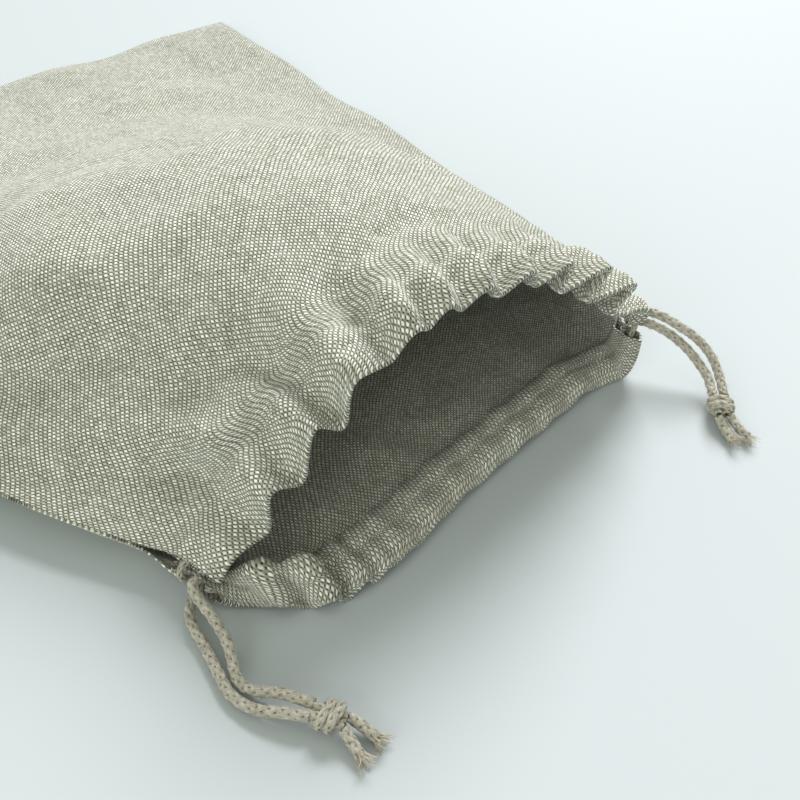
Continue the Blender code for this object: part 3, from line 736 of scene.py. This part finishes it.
def add_panel(name, section, folds, seed, outside, finish, node):
    """One panel of the bag with its turned-in hem: an open sheet, given its thickness by Solidify.

    outside is +1 where the panel's outer face is up, and -1 where it is down.
    """
    shares = np.linspace(0, 1, COLUMNS)
    rows = panel_rows(outside)
    points, along_cloth = [], []
    for index, (v, offset) in enumerate(rows):
        outer = layer_line(section, folds, seed, v, outside * layer_half(v))
        at = shares * distances(outer)[-1]
        line = layer_line(section, folds, seed, v, offset)
        points.append(read_at(line, distances(outer), at))
        in_hem = index < len(rows) / 2 and offset * outside < 0
        along_cloth.append(-v if in_hem else v)
    faces, marks = [], []
    across_cloth = (shares - 0.5) * FLAT_WIDTH
    for row in range(len(rows) - 1):
        for k in range(COLUMNS - 1):
            here, ahead = row * COLUMNS + k, (row + 1) * COLUMNS + k
            faces.append((here, here + 1, ahead + 1, ahead))
            marks += [
                (across_cloth[k], along_cloth[row]), (across_cloth[k + 1], along_cloth[row]),
                (across_cloth[k + 1], along_cloth[row + 1]), (across_cloth[k], along_cloth[row + 1]),
            ]
    if outside < 0:
        faces = [face[::-1] for face in faces]
        marks = [mark for k in range(0, len(marks), 4) for mark in marks[k : k + 4][::-1]]
    mesh = bpy.data.meshes.new(name)
    mesh.from_pydata((np.vstack(points) * MM).tolist(), [], faces)
    layer = mesh.uv_layers.new(name="cloth")
    layer.data.foreach_set("uv", (np.array(marks) * MM).astype(np.float32).ravel())
    mesh.materials.append(finish)
    mesh.shade_smooth()
    panel = bpy.data.objects.new(name, mesh)
    bpy.context.scene.collection.objects.link(panel)
    wall = panel.modifiers.new("cloth", "SOLIDIFY")
    wall.thickness = CLOTH * MM
    wall.offset = 0.0
    bpy.context.view_layer.objects.active = panel
    bpy.ops.object.modifier_apply(modifier=wall.name)
    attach(panel, "root")
    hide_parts(node)
    return panel


WARP_PITCH = 1.04  # millimetres from one lengthwise yarn to the next
WEFT_PITCH = 1.02
YARN_WIDTHS = (0.32, 0.34)  # a lengthwise and a crosswise yarn's least half width, in pitches
YARN_SLUBS = 0.30  # how much wider they are where they are thick
YARN_RISES = (0.60, -0.50)  # how far each rises where it passes over, and sinks where it passes under
YARN_WAVER = 1.2  # how far a yarn strays from straight
SLUB_RATE = 0.16  # a slub is about six pitches long
YARN_APART = 1.37  # far enough between yarns for each to have slubs of its own


def linen_material(name, weft_light, weft_dark, warp_light, warp_dark, painted_gap_shade):
    """Natural linen in plain weave: long floats of the lengthwise yarns over darker crosswise ones; the
    floats are painted pale partly as their own tone and partly as painted highlight on their raised tops.

    The yarns are uneven, thick and thin, with small gaps between them painted dark as shade, and have no
    gloss.
    Its UV map gives metres across and along the cloth.
    """
    made, tree, shader = new_material(name)
    shader.inputs["Roughness"].default_value = 0.9
    shader.inputs["Specular IOR Level"].default_value = 0.18
    shader.inputs["Sheen Weight"].default_value = 0.15

    # Yarns that don't run quite straight, and bend about every 11 mm
    place = add_node(tree, "ShaderNodeUVMap", uv_map="cloth")
    waver = add_node(tree, "ShaderNodeTexNoise", {"Vector": place, "Scale": 90.0, "Detail": 2.0})
    centred = add_node(tree, "ShaderNodeVectorMath", {
        0: waver.outputs["Color"], 1: (0.5, 0.5, 0.5),
    }, operation="SUBTRACT")
    place = add_node(tree, "ShaderNodeVectorMath", {
        0: centred, 1: (YARN_WAVER * MM, YARN_WAVER * MM, 0.0), 2: place,
    }, operation="MULTIPLY_ADD")
    yarns = add_node(tree, "ShaderNodeVectorMath", {
        0: place, 1: (1 / (WARP_PITCH * MM), 1 / (WEFT_PITCH * MM), 0.0),
    }, operation="MULTIPLY")
    cell = add_node(tree, "ShaderNodeVectorMath", {0: yarns}, operation="FLOOR")
    within = add_node(tree, "ShaderNodeVectorMath", {0: yarns}, operation="FRACTION")
    within = add_node(tree, "ShaderNodeVectorMath", {0: within, 1: (0.5, 0.5, 0.0)}, operation="SUBTRACT")
    across = add_node(tree, "ShaderNodeSeparateXYZ", {"Vector": yarns})
    index = add_node(tree, "ShaderNodeSeparateXYZ", {"Vector": cell})

    # Thick and thin places along each yarn
    slubs = []
    for x, y, z, rates in (
        (index.outputs["X"], across.outputs["Y"], 9.0, (YARN_APART, SLUB_RATE, 1.0)),
        (across.outputs["X"], index.outputs["Y"], 3.0, (SLUB_RATE, YARN_APART, 1.0)),
    ):
        along = add_node(tree, "ShaderNodeCombineXYZ", {"X": x, "Y": y, "Z": z})
        along = add_node(tree, "ShaderNodeVectorMath", {0: along, 1: rates}, operation="MULTIPLY")
        slubs.append(add_node(tree, "ShaderNodeTexNoise", {"Vector": along, "Scale": 1.0, "Detail": 3.0}))
    warp_body, weft_body = slubs

    # Each yarn's height: its round top, and its way over and under the others
    bodies = add_node(tree, "ShaderNodeCombineXYZ", {"X": warp_body, "Y": weft_body, "Z": 1.0})
    widths = add_node(tree, "ShaderNodeVectorMath", {
        0: bodies, 1: (YARN_SLUBS, YARN_SLUBS, 1.0), 2: (*YARN_WIDTHS, 0.0),
    }, operation="MULTIPLY_ADD")
    share = add_node(tree, "ShaderNodeVectorMath", {0: within, 1: widths}, operation="DIVIDE")
    square = add_node(tree, "ShaderNodeVectorMath", {0: share, 1: share}, operation="MULTIPLY")
    top = add_node(tree, "ShaderNodeVectorMath", {0: (1.0, 1.0, 1.0), 1: square}, operation="SUBTRACT")
    top = add_node(tree, "ShaderNodeVectorMath", {0: top, 1: (0.0, 0.0, 0.0)}, operation="MAXIMUM")
    crossing = add_node(tree, "ShaderNodeCombineXYZ", {"X": across.outputs["Y"], "Y": across.outputs["X"]})
    crossing = add_node(tree, "ShaderNodeVectorMath", {0: crossing, 1: cell}, operation="ADD")
    crossing = add_node(tree, "ShaderNodeVectorMath", {
        0: crossing, 1: (math.pi, math.pi, 0.0), 2: (-math.pi / 2, -math.pi / 2, 0.0),
    }, operation="MULTIPLY_ADD")
    wave = add_node(tree, "ShaderNodeVectorMath", {0: crossing}, operation="COSINE")
    heights = add_node(tree, "ShaderNodeVectorMath", {
        0: wave, 1: (*YARN_RISES, 0.0), 2: top,
    }, operation="MULTIPLY_ADD")
    heights = add_node(tree, "ShaderNodeSeparateXYZ", {"Vector": heights})
    height = add_node(tree, "ShaderNodeMath", {
        0: heights.outputs["X"], 1: heights.outputs["Y"],
    }, operation="MAXIMUM")
    step = add_node(tree, "ShaderNodeMath", {
        0: heights.outputs["X"], 1: heights.outputs["Y"],
    }, operation="SUBTRACT")
    warp_over = add_node(tree, "ShaderNodeMapRange", {"Value": step, "From Min": -0.38, "From Max": -0.06})
    closed = add_node(tree, "ShaderNodeMapRange", {"Value": height, "From Min": 0.40, "From Max": 1.15})

    # Colours of the two sets of yarns, of each float and of the gaps, with patches about 45 mm wide
    # and fibres of 0.4 mm. The lengthwise floats' colours are partly their own tone and partly painted
    # highlight, and the gaps' colour is painted shade
    weft_shade = add_node(tree, "ShaderNodeMapRange", {"Value": weft_body, "From Min": 0.3, "From Max": 0.7})
    weft_colour = add_node(tree, "ShaderNodeMix", {
        "Factor": weft_shade, 6: linear(weft_dark), 7: linear(weft_light),
    }, data_type="RGBA")
    each = add_node(tree, "ShaderNodeTexWhiteNoise", {"Vector": cell})
    warp_shade = add_node(tree, "ShaderNodeMath", {0: each, 1: 0.55, 2: warp_body}, operation="MULTIPLY_ADD")
    warp_shade = add_node(tree, "ShaderNodeMapRange", {
        "Value": warp_shade, "From Min": 0.45, "From Max": 1.05,
    })
    # The lengthwise yarns' colour is partly their own tone and partly painted highlight on the raised floats
    warp_colour_and_highlight = add_node(tree, "ShaderNodeMix", {
        "Factor": warp_shade, 6: linear(warp_dark), 7: linear(warp_light),
    }, data_type="RGBA")
    colour = add_node(tree, "ShaderNodeMix", {
        "Factor": warp_over, 6: weft_colour.outputs[2], 7: warp_colour_and_highlight.outputs[2],
    }, data_type="RGBA")
    # Painted shade: where the yarns leave a gap, the colour turns dark
    colour = add_node(tree, "ShaderNodeMix", {
        "Factor": closed, 6: linear(painted_gap_shade), 7: colour.outputs[2],
    }, data_type="RGBA")
    space = add_node(tree, "ShaderNodeTexCoord")
    patch = add_node(tree, "ShaderNodeTexNoise", {
        "Vector": space.outputs["Object"], "Scale": 22.0, "Detail": 2.0,
    })
    patch = add_node(tree, "ShaderNodeMapRange", {
        "Value": patch, "From Min": 0.25, "From Max": 0.75, "To Min": 0.94, "To Max": 1.04,
    })
    tint = add_node(tree, "ShaderNodeVectorMath", {0: colour.outputs[2], "Scale": patch}, operation="SCALE")
    fibres = add_node(tree, "ShaderNodeTexNoise", {"Vector": place, "Scale": 2600.0, "Detail": 3.0})
    fibre_shade = add_node(tree, "ShaderNodeMapRange", {
        "Value": fibres, "From Min": 0.3, "From Max": 0.7, "To Min": 0.78, "To Max": 1.14,
    })
    tint = add_node(tree, "ShaderNodeVectorMath", {0: tint, "Scale": fibre_shade}, operation="SCALE")
    tree.links.new(tint.outputs["Vector"], shader.inputs["Base Color"])

    # Relief of the yarns and of the fibres in them
    relief = add_node(tree, "ShaderNodeMath", {0: fibres, 1: 0.6, 2: height}, operation="MULTIPLY_ADD")
    bump = add_node(tree, "ShaderNodeBump", {"Height": relief, "Strength": 0.75, "Distance": 0.00022})
    tree.links.new(bump.outputs["Normal"], shader.inputs["Normal"])
    return made


# The lengthwise yarns' two colours are partly painted highlight, and the last colour is the gaps' painted
# shade
natural_linen = linen_material(
    "natural_linen_plain_weave", "#aca993", "#7d7862", "#f6fbf0", "#c1c6b5", "#2b271b"
)
upper_panel = add_panel(
    "upper_panel_cloth", upper_section, UPPER_FOLDS, UPPER_SEED, 1, natural_linen, "upper_panel"
)

# ------------------------------------------------------------------------------------- lower panel
# The same cloth, cut and hemmed the same way. It lies on the surface, and its sides climb to meet the
# upper panel's, beside the mouth and along the near side, where the loaf holds the seam up. At the
# near side of the mouth the drawn-up casing stands in a ruffle.

# lift is how far its edge stays below the upper panel's, and foot how far in the climb starts.
Rest = namedtuple("Rest", "v mid_y near_lift near_foot far_lift far_foot")
LOWER = [
    Rest(0, -20, 7.6, 6, 8.2, 7),
    Rest(15, -5, 7.6, 6, 8.2, 8),
    Rest(20, 0, 7.2, 6, 3.4, 9),
    Rest(30, 10, -0.2, 14, 1.2, 11),
    Rest(75, 54, -0.3, 24, 1.0, 14),
    Rest(115, 93, -0.3, 24, -0.1, 10),
    Rest(157, 134, -0.4, 22, -0.55, 6),
    Rest(250, 226, -0.5, 14, -0.55, 6),
    Rest(400, 373, -0.55, 6, -0.55, 6),
]
# How far its lip stands forward of the line between its corners, for each share of the way across
Lip = namedtuple("Lip", "share forward")
LIP = [
    Lip(0.00, 0.0), Lip(0.04, 6.0), Lip(0.10, 15.5), Lip(0.16, 21.5), Lip(0.23, 22.0),
    Lip(0.50, 10.5), Lip(0.74, 2.0), Lip(0.93, -3.0), Lip(1.00, 0.0),
]
RUFFLE_V = 18.0  # how far from the lip its top is
RUFFLE_FROM_U, RUFFLE_TO_U = -122.0, -84.0
RUFFLE_RISE = 11.0
RUFFLE_WIDTH = 11.0
RUFFLE_FORWARD = 5.0  # how far the cloth behind it is drawn towards the mouth
LOWER_FOLDS = [
    Fold(-126, -5, -124, 26, 3.6, 3.0, 0.4),
    Fold(-117, 2, -116, 30, -4.0, 3.4, 0.0),
    Fold(-109, -5, -107, 30, 5.0, 3.6, 0.6),
    Fold(-100, 2, -99, 30, -3.6, 3.4, 0.0),
    Fold(-91, -5, -89, 34, 4.6, 4.0, 0.6),
    Fold(-76, -5, -74, 40, 3.2, 4.6, 0.3),
    Fold(-62, -5, -58, 60, 3.6, 9.0, 0.0),
    Fold(-37, -5, -36, 52, 3.0, 9.0, 0.0),
    Fold(-12, -5, -10, 58, 3.2, 9.0, 0.0),
    Fold(14, -5, 16, 50, 2.8, 9.0, 0.0),
    Fold(40, -5, 38, 60, 3.4, 9.0, 0.0),
    Fold(66, -5, 62, 52, 3.0, 9.0, 0.0),
    Fold(92, -5, 86, 58, 3.6, 9.0, 0.0),
]
LOWER_SEED = 8
CLIMB = 0.1  # share of its points, at each side, that are on the climb
SOLID_HALF = 0.5  # half the thickness of the solid that this panel stands for
LIP_BLEND = (10, 90)  # where, along the cloth, the lip's line turns into the rows' own


def ruffle(u):
    """How much of the lower casing's ruffle there is at u, from 0 to 1."""
    t = np.clip((u - RUFFLE_FROM_U) / (RUFFLE_TO_U - RUFFLE_FROM_U), 0, 1)
    before = np.clip(RUFFLE_FROM_U - u, 0, None)
    return np.cos(t * math.pi / 2) ** 2 * np.exp(-((before / RUFFLE_WIDTH) ** 2))


def lower_section(v):
    """The lower panel's middle across the bag at v, before its folds, from the near seam to the far."""
    edge = {name: between_rows(UPPER, name, v) for name in Section._fields}
    rest = {name: between_rows(LOWER, name, v) for name in Rest._fields}
    floor = SOLID_HALF + layer_half(v)
    near_z = max(edge["near_z"] - rest["near_lift"], floor)
    far_z = max(edge["far_z"] - rest["far_lift"], floor)
    near_foot = edge["near_x"] + rest["near_foot"]
    far_foot = edge["far_x"] - rest["far_foot"]
    t = np.linspace(0, 1, FINE)
    first, middle, last = t / CLIMB, (t - CLIMB) / (1 - 2 * CLIMB), (t - 1 + CLIMB) / CLIMB
    x = np.where(
        t < CLIMB, edge["near_x"] + (near_foot - edge["near_x"]) * first,
        near_foot + (far_foot - near_foot) * middle,
    )
    x = np.where(t > 1 - CLIMB, far_foot + (edge["far_x"] - far_foot) * (1 - (1 - last) ** 2), x)
    z = np.where(t < CLIMB, near_z + (floor - near_z) * (1 - (1 - first) ** 2), floor)
    z = np.where(t > 1 - CLIMB, floor + (far_z - floor) * last**2, z)
    line = evenly(np.stack([x, np.zeros(FINE), z], axis=1), FINE)
    share = (line[:, 0] - edge["near_x"]) / (edge["far_x"] - edge["near_x"])
    straight = edge["near_y"] + share * (edge["far_y"] - edge["near_y"])
    centre = (edge["near_y"] + edge["far_y"]) / 2
    lip = between_rows(LIP, "forward", share)
    behind = 4 * share * (1 - share) * (centre - rest["mid_y"])
    turned = ramp(v, *LIP_BLEND)
    line[:, 1] = straight - lip * (1 - turned) - behind * turned + MOUTH_Y
    stands = ruffle(np.linspace(-FLAT_WIDTH / 2, FLAT_WIDTH / 2, FINE))
    line[:, 1] -= RUFFLE_FORWARD * stands * ramp(v, 0, RUFFLE_V) * (1 - turned)
    line[:, 2] += RUFFLE_RISE * stands * math.exp(-(((v - RUFFLE_V) / RUFFLE_WIDTH) ** 2))
    return line


lower_panel = add_panel(
    "lower_panel_cloth", lower_section, LOWER_FOLDS, LOWER_SEED, -1, natural_linen, "lower_panel"
)

# --------------------------------------------------------------------------- drawstrings in the casing
# The same braided cord runs all round inside the casing, once for each drawstring. It shows only at the
# openings in the side seams, so it is braided more coarsely.

HIDDEN_CORD = 0.72  # a drawstring's thickness in the casing, as a share of its free strands'
HIDDEN_STEP = 1.6  # between the points of its route, and between its rings
HIDDEN_YARN_SIDES = 5
# A drawstring's turn round the side seam where it doesn't come out: how far each point stands out of
# the casing, and its share of the way from the upper strand down to the lower
Turn = namedtuple("Turn", "out down")
NEAR_TURN = [Turn(1.2, 0.0), Turn(2.4, 0.2), Turn(3.0, 0.5), Turn(2.4, 0.8), Turn(1.2, 1.0)]
FAR_TURN = [Turn(0.9, 0.25), Turn(1.3, 0.5), Turn(0.7, 0.8)]


def drawstring_route(v, side, turn):
    """A drawstring's way round the casing at v: in at one side seam, round at `side`, and back."""
    upper = layer_line(upper_section, UPPER_FOLDS, UPPER_SEED, v, 0.0)
    lower = layer_line(lower_section, LOWER_FOLDS, LOWER_SEED, v, 0.0)
    if side < 0:
        upper, lower = upper[::-1], lower[::-1]
    there = evenly(upper, round(distances(upper)[-1] / HIDDEN_STEP))
    back = evenly(lower[::-1], round(distances(lower)[-1] / HIDDEN_STEP))
    link = [
        there[-1] + (back[0] - there[-1]) * row.down + np.array((side * row.out, 0, 0)) for row in turn
    ]
    return np.vstack([there, link, back])


for name, v, side, turn in (
    ("near_drawstring", CORD_ROWS[0], 1, FAR_TURN), ("far_drawstring", CORD_ROWS[1], -1, NEAR_TURN),
):
    shapes = braid(drawstring_route(v, side, turn), HIDDEN_CORD, HIDDEN_STEP, sides=HIDDEN_YARN_SIDES)
    add_cord(name + "_in_casing", shapes, CORD_FINISHES, name)

# ------------------------------------------------------------------------------------------- light
# A plain pale table in soft daylight from a low window behind the bag and to its right, with a little
# light back off a pale wall, in a bright room.

TABLE_SIZE = 6.0
TABLE_TOP = -0.0003  # just under the bag, so that the two surfaces never coincide
ROOM_COLOUR = (0.95, 0.98, 0.90, 1.0)
ROOM_STRENGTH = 0.62
Sun = namedtuple("Sun", "width energy colour direction")
SUNS = {
    "window_daylight": Sun(28, 4.4, (0.96, 0.95, 1.0), (-0.68, -0.52, -0.66)),
    "light_off_a_pale_wall": Sun(45, 1.3, (1.0, 1.0, 1.0), (0.93, 0.3, -0.34)),
}

bpy.ops.mesh.primitive_plane_add(size=TABLE_SIZE, location=(0, 0, TABLE_TOP))
table = bpy.context.object
table.name = "table"
# Matt paint: one even pale tone, with a soft shadow and no reflection of the bag
painted, _, shader = new_material("pale_matt_table")
shader.inputs["Base Color"].default_value = linear("#b6bebe")
shader.inputs["Roughness"].default_value = 0.7
table.data.materials.append(painted)

for name, sun in SUNS.items():
    light = bpy.data.lights.new(name, "SUN")
    light.angle = math.radians(sun.width)
    light.energy = sun.energy
    light.color = sun.colour
    lamp = bpy.data.objects.new(name, light)
    lamp.rotation_euler = Vector(sun.direction).to_track_quat("-Z", "Y").to_euler()
    bpy.context.scene.collection.objects.link(lamp)
bpy.context.scene.view_settings.view_transform = "Standard"
world = bpy.data.worlds.new("room")
bpy.context.scene.world = world
world.use_nodes = True
room_light = world.node_tree.nodes["Background"]
room_light.inputs["Color"].default_value = ROOM_COLOUR
room_light.inputs["Strength"].default_value = ROOM_STRENGTH
